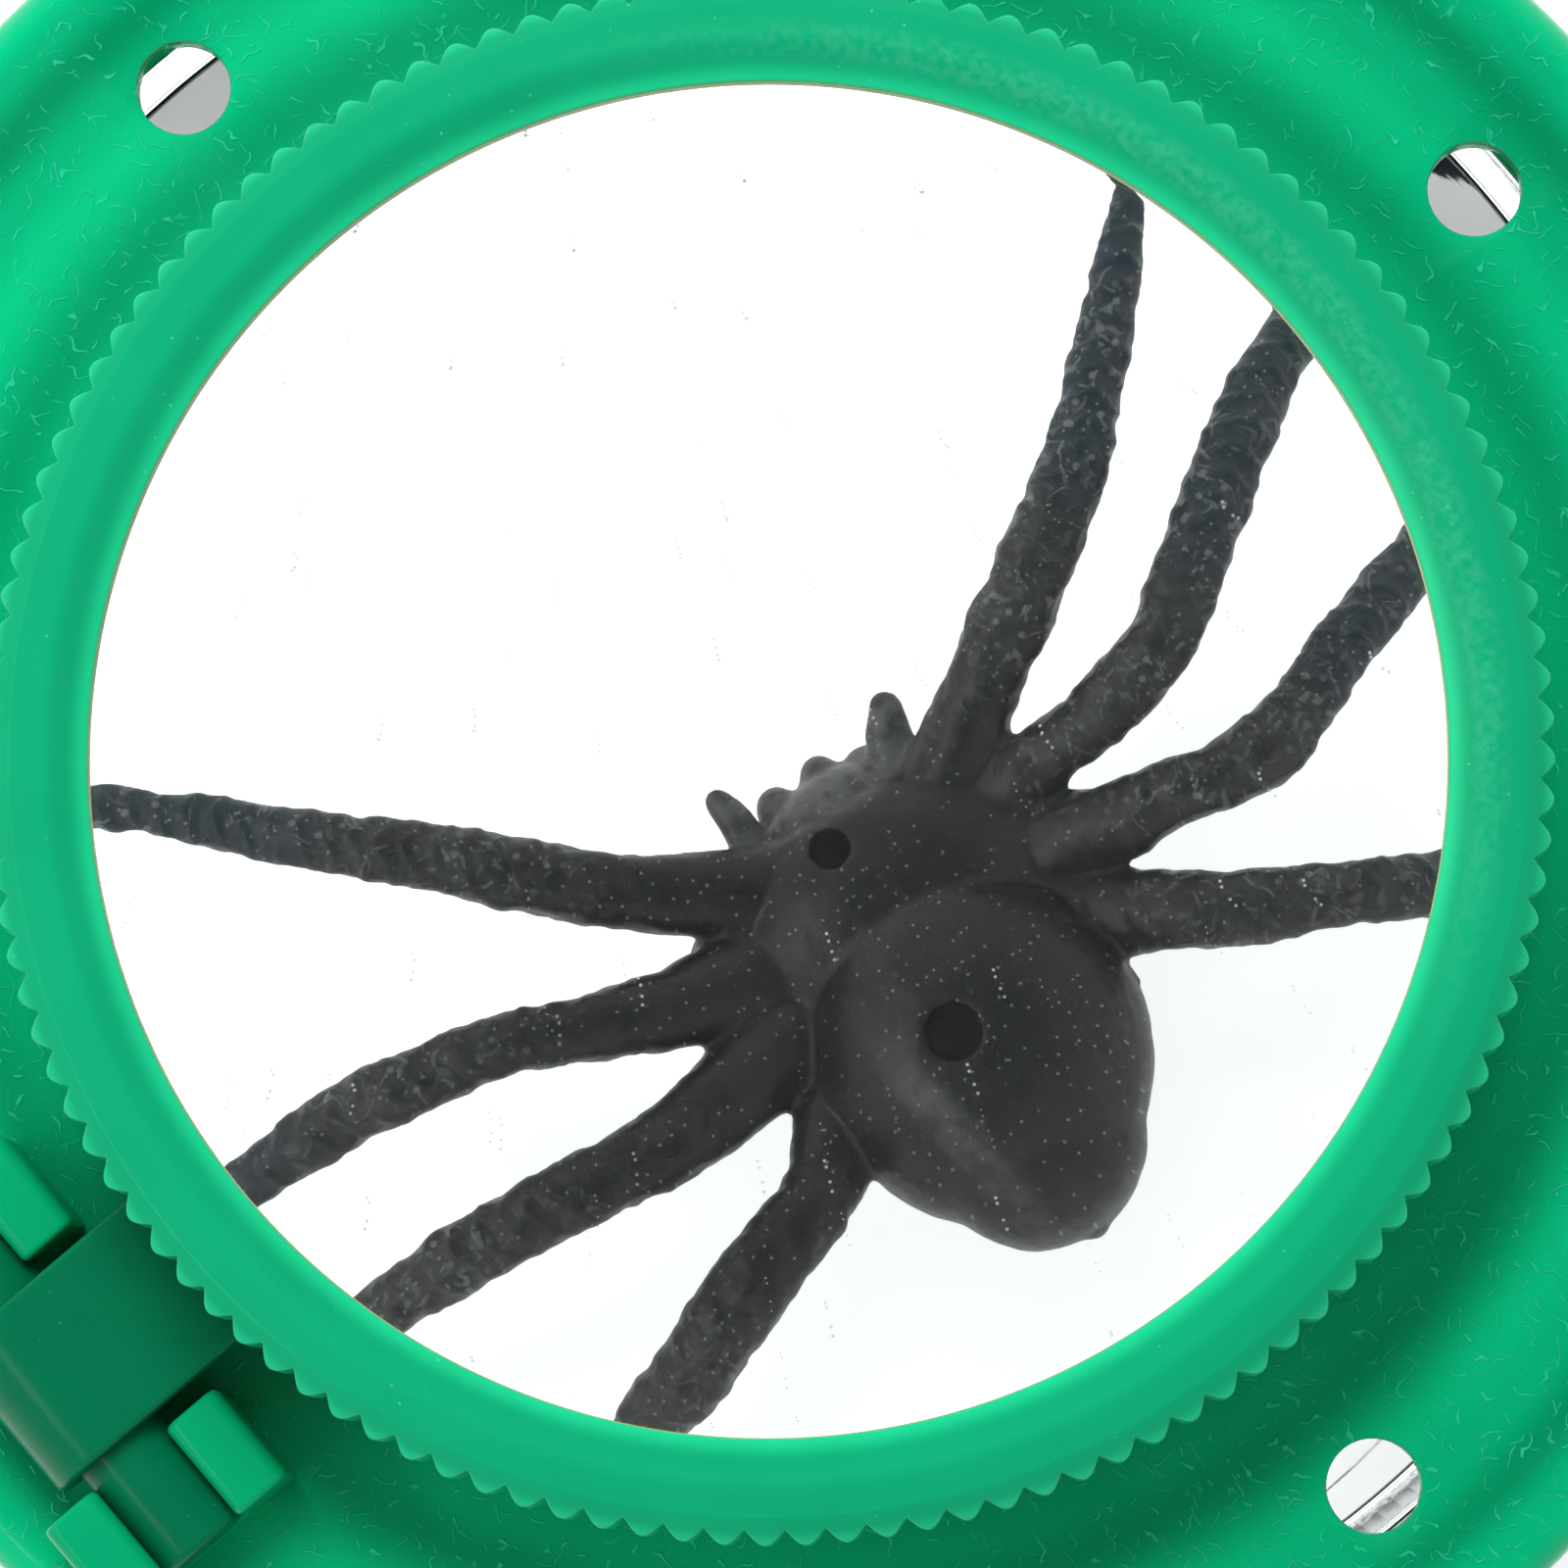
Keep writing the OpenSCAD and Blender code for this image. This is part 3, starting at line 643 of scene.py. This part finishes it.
# ---------------------------------------------------------------- knurled ring
def make_ring():
    """The ring that holds the upper lens down: a turned crown and seat, and rounded teeth all round."""
    seat_z, span = RING_TOP_Z - BEZEL_T, ROOT_R - BEZEL_R
    land_r, land_z = BEZEL_R + span * LAND_SHARE, RING_TOP_Z - BEZEL_T * LAND_DROP_SHARE
    fall = BEZEL_T * (TIP_DROP_SHARE - LAND_DROP_SHARE) / (TIP_R - land_r)

    def slope_z(r):
        return land_z - fall * (r - land_r)

    crown = eased([
        (BEZEL_R, seat_z + BEZEL_GAP, 0), (BEZEL_R, seat_z + BEZEL_EDGE_T, LIP_EASE),
        (BEZEL_R + span * CREST_SHARE, RING_TOP_Z, CREST_EASE), (land_r, land_z, EASE_MID),
        (TIP_R, slope_z(TIP_R), 0),
    ], steps=7, closed=False)
    crown = [p for p in crown if p[0] <= land_r - CROWN_TRIM]
    crown_r = crown[-1][0]
    steps = KNURL_COUNT * TOOTH_STEPS
    verts, columns = [], []
    for k in range(steps):
        a = math.tau * k / steps
        edge = ROOT_R + KNURL_DEPTH * math.sin(math.pi * (k % TOOTH_STEPS) / TOOTH_STEPS) ** TOOTH_POWER
        top = slope_z(edge)
        slope = [crown_r + (edge - TOOTH_EASE - crown_r) * n / SLOPE_STEPS for n in range(1, SLOPE_STEPS + 1)]
        column = crown + [(r, slope_z(r)) for r in slope] + [
            (edge - TOOTH_EASE * 0.3, top + fall * TOOTH_EASE * 0.3 - TOOTH_EASE * 0.2),
            (edge, top - TOOTH_EASE), (edge, (top + RING_Z) / 2), (edge, RING_Z + TOOTH_EASE),
            (edge - TOOTH_EASE, RING_Z), (RING_IN_R, RING_Z), (RING_IN_R, seat_z),
            (FRAME_LEDGE_R, seat_z), (FRAME_LEDGE_R, seat_z + BEZEL_GAP),
        ]
        columns.append(range(len(verts), len(verts) + len(column)))
        verts += [(r * math.cos(a), r * math.sin(a), z) for r, z in column]
    faces = []
    for here, there in zip(columns, columns[1:] + columns[:1]):
        for i, at in enumerate(here):
            j = (i + 1) % len(here)
            faces.append([at, there[i], there[j], here[j]])
    return new_object("knurled_cap_ring", verts, faces, RING_SMOOTH_ANGLE)


# ---------------------------------------------------------------- toy spider
# Legs: points (forward, left, up) in millimetres with the leg's radius, from the body to the tip
LEGS = [
    [(1.2, 1.2, 2.6, 0.9), (1.85, 2.6, 3.1, 0.78), (2.6, 4.0, 3.6, 0.7), (3.4, 5.0, 4.0, 0.73),
     (4.2, 6.0, 4.2, 0.68), (5.0, 7.0, 4.2, 0.62), (5.8, 8.0, 4.0, 0.56), (6.6, 9.0, 3.6, 0.5),
     (7.5, 10.0, 3.1, 0.45), (8.4, 11.1, 2.5, 0.41), (10.6, 14.2, 0.62, 0.32)],
    [(-0.2, 1.6, 2.6, 0.95), (0.1, 3.0, 3.1, 0.85), (0.2, 4.0, 3.5, 0.76), (0.42, 5.0, 3.9, 0.68),
     (0.7, 6.0, 4.1, 0.6), (1.0, 7.0, 4.2, 0.58), (1.28, 9.0, 4.0, 0.59), (1.36, 10.0, 3.6, 0.61),
     (1.4, 11.0, 3.1, 0.58), (1.35, 12.2, 2.5, 0.48), (1.6, 16.4, 0.62, 0.34)],
    [(-1.2, 1.8, 2.6, 0.95), (-1.5, 3.2, 3.1, 0.9), (-1.75, 4.1, 3.5, 0.82), (-1.97, 5.0, 3.8, 0.74),
     (-1.97, 7.0, 4.0, 0.64), (-1.87, 9.0, 3.7, 0.63), (-1.85, 10.0, 3.2, 0.6), (-1.9, 11.2, 2.6, 0.54),
     (-2.8, 15.8, 0.62, 0.34)],
    [(-2.2, 1.6, 2.6, 0.9), (-3.0, 2.3, 3.0, 0.82), (-3.95, 3.1, 3.4, 0.74), (-4.4, 4.0, 3.7, 0.7),
     (-4.82, 5.0, 3.9, 0.74), (-5.3, 6.0, 3.7, 0.74), (-5.65, 7.0, 3.2, 0.68), (-6.05, 8.2, 2.5, 0.6),
     (-8.4, 12.8, 0.62, 0.34)],
    [(1.2, -2.0, 2.6, 0.9), (2.1, -3.15, 3.1, 0.8), (2.85, -4.05, 3.5, 0.72), (3.55, -5.05, 3.9, 0.74),
     (4.35, -6.05, 4.2, 0.74), (5.2, -7.05, 4.2, 0.7), (6.3, -8.05, 3.8, 0.6), (7.5, -9.0, 3.3, 0.5),
     (8.8, -9.95, 2.7, 0.38), (9.6, -10.6, 2.3, 0.35), (12.0, -13.0, 0.62, 0.3)],
    [(0.6, -2.6, 2.6, 0.9), (0.98, -4.0, 3.3, 0.66), (1.12, -5.05, 3.7, 0.61), (1.36, -6.05, 4.0, 0.64),
     (1.76, -7.1, 4.2, 0.68), (2.55, -8.1, 4.1, 0.67), (3.55, -9.1, 3.8, 0.69), (4.5, -10.1, 3.4, 0.64),
     (5.3, -11.0, 2.8, 0.58), (5.9, -11.9, 2.3, 0.5), (8.2, -15.2, 0.62, 0.34)],
    [(-0.4, -3.0, 2.6, 0.9), (-0.5, -4.2, 3.2, 0.78), (-0.63, -5.0, 3.5, 0.71), (-0.75, -6.0, 3.9, 0.62),
     (-0.86, -7.0, 4.0, 0.62), (-0.72, -8.0, 4.0, 0.68), (-0.27, -9.0, 3.7, 0.6), (0.32, -10.0, 3.3, 0.58),
     (0.85, -11.0, 2.8, 0.56), (1.35, -12.0, 2.3, 0.52), (3.0, -16.0, 0.62, 0.34)],
    [(-1.4, -3.0, 2.6, 0.9), (-2.1, -4.2, 3.1, 0.8), (-2.55, -5.0, 3.5, 0.73), (-3.05, -6.0, 3.7, 0.7),
     (-3.42, -7.0, 3.7, 0.61), (-3.7, -8.0, 3.4, 0.57), (-4.0, -9.0, 2.9, 0.6), (-4.35, -10.0, 2.4, 0.52),
     (-6.4, -15.0, 0.62, 0.34)],
]
# Rounded lumps of the body: centre and half sizes, forward, left and up
LUMPS = [
    ((0.0, -0.6, 2.5), (2.3, 3.2, 1.7)),
    ((-1.4, -0.7, 2.4), (2.3, 3.4, 1.5)),
    ((0.5, 2.2, 2.5), (0.9, 1.2, 0.9)),
    ((1.6, -0.45, 2.2), (1.2, 1.6, 1.15)),
    ((-3.0, -0.7, 3.0), (3.2, 3.08, 2.3)),
    ((-4.6, -0.76, 2.8), (2.15, 2.1, 1.85)),
    ((-6.62, -0.95, 2.6), (0.22, 0.28, 0.3)),
    ((2.42, 0.5, 1.9), (0.62, 0.46, 0.55)),
    ((2.52, -0.45, 1.9), (0.65, 0.46, 0.55)),
    ((2.25, -1.3, 2.0), (0.68, 0.55, 0.5)),
]
FEELERS = [
    [(1.8, 1.25, 2.4, 0.42), (2.65, 1.3, 2.5, 0.34), (3.2, 1.42, 2.5, 0.27)],
    [(1.8, -1.65, 2.4, 0.52), (2.75, -1.9, 2.5, 0.44), (3.25, -2.08, 2.5, 0.32)],
]
# Round marks: centre, forward and left, and radius
PIN_MARKS = [((1.35, 0.05), 0.4), ((-2.85, -0.35), 0.56)]
MARK_DEPTH, MARK_FROM_Z = 0.12, 2.0
# The skin: its voxels, its smoothing, and its lumps and grain as waves per millimetre and height
SKIN_VOXEL, SOFT_FACTOR, SOFT_ROUNDS = 0.09, 0.5, 6
LUMP_WAVES, GRAIN_WAVE, BODY_SHARE = [(0.9, 0.09), (2.6, 0.06)], (6.0, 0.02), 0.25
# Where the legs' own skin begins, and what is left out of it as the abdomen
LEGS_FROM, LEGS_RAMP = 3.0, 2.0
ABDOMEN_FRONT, ABDOMEN_REACH, ABDOMEN_MID, ABDOMEN_HALF = -3.0, 7.2, -0.75, 3.0
# The legs' hair ridges
RIDGE_EVERY, RIDGE_H, RIDGE_SLANT, RIDGE_CUT, RIDGES_FROM = 0.5, 0.09, 0.75, 0.3, 3.0
RIDGE_REACH, PATH_OFFSET, PATH_HALF, PATH_EDGE, EDGE_WEIGHT = 1.4, 0.1, 0.5, 0.4, 3.0
LIMB_SIDES, LIMB_FLATNESS, LIMB_PATH_STEPS, RIDGE_PATH_STEPS = 20, 0.86, 8, 10


def smooth_path(points, per):
    """Catmull-Rom through points of any length, with so many steps from each point to the next."""
    p = [Vector(q) for q in points]
    p = [p[0] * 2 - p[1]] + p + [p[-1] * 2 - p[-2]]
    out = []
    for i in range(1, len(p) - 2):
        for k in range(per):
            t = k / per
            a, b, c, d = p[i - 1:i + 3]
            out.append(0.5 * (2 * b + (c - a) * t + (2 * a - 5 * b + 4 * c - d) * t ** 2
                              + (3 * b - a - 3 * c + d) * t ** 3))
    return out + [p[-2]]


def round_end(ring, last, before):
    """Rows that close a tube with a dome, beyond its last ring."""
    centre = Vector(last[:3])
    reach = (centre - Vector(before[:3])).normalized() * last[3]
    rows = []
    for turn in (22.5, 45.0, 67.5):
        a = math.radians(turn)
        rows.append([centre + (p - centre) * math.cos(a) + reach * math.sin(a) for p in ring])
    return rows + [[centre + reach]]


def limb_mesh(bm, points):
    """A round-ended tube through points (x, y, z, radius), a little flatter than it is wide."""
    path = smooth_path(points, LIMB_PATH_STEPS)
    turns = [math.tau * k / LIMB_SIDES for k in range(LIMB_SIDES)]
    rings = []
    for i, q in enumerate(path):
        before, here = Vector(path[max(i - 1, 0)][:3]), Vector(q[:3])
        after = Vector(path[min(i + 1, len(path) - 1)][:3])
        along = (after - before).normalized()
        side = along.cross(Vector((0, 0, 1))).normalized()
        up = side.cross(along) * LIMB_FLATNESS
        rings.append([here + (side * math.cos(a) + up * math.sin(a)) * q[3] for a in turns])
    start = round_end(rings[0], path[0], path[1])
    rows = start[::-1] + rings + round_end(rings[-1], path[-1], path[-2])
    made = [[bm.verts.new(p) for p in row] for row in rows]
    for a, b in zip(made, made[1:]):
        for k in range(LIMB_SIDES):
            m = (k + 1) % LIMB_SIDES
            quad = [a[k % len(a)], a[m % len(a)], b[m % len(b)], b[k % len(b)]]
            face = [v for j, v in enumerate(quad) if v not in quad[:j]]
            if len(face) > 2:
                bm.faces.new(face)


def make_spider():
    """The toy: lumps and limbs joined into one skin, grained, and set down on the jar's floor."""
    bm = bmesh.new()
    for centre, half in LUMPS:
        bmesh.ops.create_uvsphere(bm, u_segments=40, v_segments=24, radius=1.0,
                                  matrix=Matrix.Translation(centre) @ Matrix.Diagonal((*half, 1.0)))
    for points in LEGS + FEELERS:
        limb_mesh(bm, points)
    bmesh.ops.recalc_face_normals(bm, faces=bm.faces)
    mesh = bpy.data.meshes.new("toy_spider_skin")
    bm.to_mesh(mesh)
    bm.free()
    obj = bpy.data.objects.new("toy_spider_skin", mesh)
    bpy.context.scene.collection.objects.link(obj)
    skin = obj.modifiers.new("skin", "REMESH")
    skin.mode, skin.voxel_size = "VOXEL", SKIN_VOXEL
    soft = obj.modifiers.new("soft", "SMOOTH")
    soft.factor, soft.iterations = SOFT_FACTOR, SOFT_ROUNDS
    applied(obj)
    flatten_and_grain(obj.data)
    turn = Matrix.Rotation(math.radians(SPIDER_TURN + 90), 4, "Z")
    lift = Matrix.Translation((*SPIDER_AT, FLOOR_Z + SPIDER_GAP))
    forward = Matrix.Rotation(-math.pi / 2, 4, "Z")
    obj.data.transform(Matrix.Diagonal((MM, MM, MM, 1)) @ lift @ turn @ forward)
    obj.data.shade_smooth()
    return obj


def clamped(value):
    return min(max(value, 0.0), 1.0)


def flatten_and_grain(mesh):
    """Gives the spider's skin its lumps, its legs' ridges, round pin marks and a flat underside."""
    count = len(mesh.vertices)
    points, normals = np.empty(count * 3), np.empty(count * 3)
    mesh.vertices.foreach_get("co", points)
    mesh.vertices.foreach_get("normal", normals)
    points, normals = points.reshape(-1, 3), normals.reshape(-1, 3)
    ridges = leg_ridges(points)
    grain_scale, grain_h = GRAIN_WAVE
    shift = np.empty(count)
    for i, p in enumerate(points.tolist()):
        at = Vector(p)
        reach = math.hypot(at.x, at.y)
        legs = clamped((reach - LEGS_FROM) / LEGS_RAMP)
        if at.x < ABDOMEN_FRONT and reach < ABDOMEN_REACH and abs(at.y - ABDOMEN_MID) < ABDOMEN_HALF:
            legs = 0.0
        lumps = sum(noise.noise(at * scale) * height for scale, height in LUMP_WAVES)
        shift[i] = lumps * (BODY_SHARE + (1 - BODY_SHARE) * legs)
        shift[i] += noise.noise(at * grain_scale) * grain_h * legs
        shift[i] += ridges[i] * legs * max(normals[i, 2], 0.0)
        if at.z > MARK_FROM_Z:
            for (mx, my), mr in PIN_MARKS:
                away = math.hypot(at.x - mx, at.y - my)
                shift[i] -= MARK_DEPTH * clamped((mr * 1.05 - away) / (mr * 0.2))
    points += normals * shift[:, None]
    points[:, 2] = np.maximum(points[:, 2], 0.0)
    mesh.vertices.foreach_set("co", points.ravel())
    mesh.update()


def leg_ridges(points):
    """Slanting ridges along the legs, as a height for each point of the skin."""
    height = np.zeros(len(points))
    nearest = np.full(len(points), RIDGE_REACH)
    for leg, leg_points in enumerate(LEGS):
        path = np.array([tuple(q) for q in smooth_path(leg_points, RIDGE_PATH_STEPS)])
        steps = np.diff(path[:, :2], axis=0)
        along = np.concatenate(([0.0], np.cumsum(np.hypot(*steps.T))))
        for i in range(len(path) - 1):
            way = steps[i] / max(np.hypot(*steps[i]), TINY)
            gap = points[:, :2] - path[i, :2]
            ahead = gap @ way
            side = gap @ np.array((-way[1], way[0]))
            past = np.abs(ahead - PATH_OFFSET)
            off = np.hypot(side, np.maximum(past - PATH_EDGE, 0.0) * EDGE_WEIGHT)
            use = (off < nearest) & (past < PATH_HALF)
            nearest[use] = off[use]
            s = along[i] + ahead[use]
            slant = RIDGE_SLANT * np.abs(side[use] + PATH_OFFSET)
            wave = np.sin(math.tau * (s + slant) / RIDGE_EVERY + leg)
            fade = np.clip((s - RIDGES_FROM) / RIDGES_FROM, 0.0, 1.0)
            height[use] = RIDGE_H * fade * np.clip(wave - RIDGE_CUT, 0.0, 1.0)
    return height


# ---------------------------------------------------------------- build
lid_green = lid_material()
ring_green = smooth_green("ring_green", RING_GREEN, 0.4, ring=True)
# the frame's deeper green is painted shade
frame_green = smooth_green("frame_green", FRAME_SHADE_GREEN, 0.12)
jar_clear = clear_material("jar_clear", (0.97, 0.98, 0.985, 1.0), 0.02, 0.15, 0.0)
lens_clear = clear_material("lens_clear", (0.99, 0.995, 0.995, 1.0), 0.0, 0.0, 0.5)
toy_black = spider_material()

place(make_jar(), "jar", "jar", jar_clear)
place(make_lid(), "lid", "lid", lid_green)
place(make_lens("lower_lens", FIXED_LENS_R, FIXED_DOME_R, FIXED_LENS_Z, FIXED_DOME_H),
      "lid", "fixed_lens", lens_clear)
place(make_frame(), "flip_lens", "lens_frame", frame_green)
place(make_lens("upper_lens", FLIP_LENS_R, FLIP_DOME_R, FLIP_LENS_Z, FLIP_DOME_H),
      "flip_lens", "flip_lens", lens_clear)
place(make_ring(), "flip_lens", "knurled_ring", ring_green)
place(make_spider(), "spider", "toy_spider", toy_black)


# ---------------------------------------------------------------- stage, lights, camera
# The room's light on the shapes, its level overhead in mirrors, and the floor's own light to the camera
WORLD_LEVEL, MIRRORED_TOP, FLOOR_GLOW = 0.42, 0.045, 0.36
# Heights between which the room darkens, for mirrored rays and for bent ones
MIRRORED_FADE, BENT_FADE = (0.15, 0.6), (0.6, 0.93)
FLOOR_HALF, FLOOR_DROP = 4000.0, 0.05

# Places in metres; lamps by name: place, sides, power, and whether mirrored surfaces show it
TARGET = (0.0, 0.0, 0.06)
LAMPS = {
    "key": ((0.387, -0.23, 0.94), (0.45, 0.45), 6.0, False),
    "strip": ((0.20, 0.36, 0.43), (0.60, 0.025), 0.7, True),
}
CAMERA_AT = Vector((-24.28, 10.74, 400.13)) * MM
CAMERA_TO = Vector((-0.55, -0.04, 70.0)) * MM
CAMERA_ROLL = math.radians(-130.4)
CAMERA_LENS, CAMERA_SENSOR, CAMERA_NEAR = 242.5, 36.0, 0.02


def make_floor():
    """A white floor, a little below the jar, that also glows to the camera and to bent rays."""
    t = Tree(bpy.data.materials.new("floor_white"))
    path = t.node("LightPath").outputs
    bent = t.math("MAXIMUM", path["Is Glossy Ray"], path["Is Transmission Ray"])
    glow = t.math("MAXIMUM", t.product(path["Is Camera Ray"], FLOOR_GLOW), bent)
    plain = t.node("BsdfDiffuse", in_Color=(0.85, 0.85, 0.85, 1.0)).outputs[0]
    lit = t.node("Emission", in_Color=WHITE, in_Strength=glow).outputs[0]
    material = t.done(t.node("AddShader", in_0=plain, in_1=lit).outputs[0])
    corners = [(-1, -1), (1, -1), (1, 1), (-1, 1)]
    floor = new_object("floor", [(x * FLOOR_HALF, y * FLOOR_HALF, -FLOOR_DROP) for x, y in corners],
                       [(0, 1, 2, 3)])
    floor.data.materials.append(material)


def make_world():
    """White to the camera, soft for the shapes, and white near the horizon for mirrored and bent rays."""
    world = bpy.data.worlds.new("studio")
    bpy.context.scene.world = world
    t = Tree(world, "OutputWorld")
    path = t.node("LightPath").outputs
    bent = t.math("MAXIMUM", path["Is Glossy Ray"], path["Is Transmission Ray"])
    height = t.parts(t.node("TexCoord").outputs["Generated"])[2]
    low, high = [t.node("MapRange", in_0=path["Is Transmission Ray"], in_3=mirror, in_4=through).outputs[0]
                 for mirror, through in zip(MIRRORED_FADE, BENT_FADE)]
    walls = t.rise(height, low, high, 1.0, MIRRORED_TOP)
    soft, room, white = [t.node("Background", in_Color=WHITE, in_Strength=level).outputs[0]
                         for level in (WORLD_LEVEL, walls, 1.0)]
    lit = t.node("MixShader", in_0=bent, in_1=soft, in_2=room).outputs[0]
    t.done(t.node("MixShader", in_0=path["Is Camera Ray"], in_1=lit, in_2=white).outputs[0])


def lamp(name, at, sides, power, mirrored):
    """A rectangular lamp turned to the target, which the camera doesn't see."""
    data = bpy.data.lights.new(name, "AREA")
    data.shape = "RECTANGLE"
    data.size, data.size_y = sides
    data.energy = power
    obj = bpy.data.objects.new(name, data)
    bpy.context.scene.collection.objects.link(obj)
    obj.location = at
    obj.rotation_euler = (Vector(TARGET) - Vector(at)).to_track_quat("-Z", "Y").to_euler()
    obj.visible_camera = False
    obj.visible_glossy = obj.visible_transmission = mirrored


def make_camera():
    """The photo's camera: almost straight down, turned about its view."""
    camera = bpy.data.objects.new("camera", bpy.data.cameras.new("camera"))
    bpy.context.scene.collection.objects.link(camera)
    camera.data.sensor_width = CAMERA_SENSOR
    camera.data.lens = CAMERA_LENS
    camera.data.clip_start = CAMERA_NEAR
    back = (CAMERA_AT - CAMERA_TO).normalized()
    right = Vector((math.cos(CAMERA_ROLL), math.sin(CAMERA_ROLL), 0))
    right = (right - back * right.dot(back)).normalized()
    turned = Matrix((right, back.cross(right), back)).transposed().to_4x4()
    camera.matrix_world = Matrix.Translation(CAMERA_AT) @ turned
    bpy.context.scene.camera = camera


make_floor()
make_world()
for lamp_name, settings in LAMPS.items():
    lamp(lamp_name, *settings)
make_camera()

bpy.context.scene.view_settings.view_transform = "Standard"
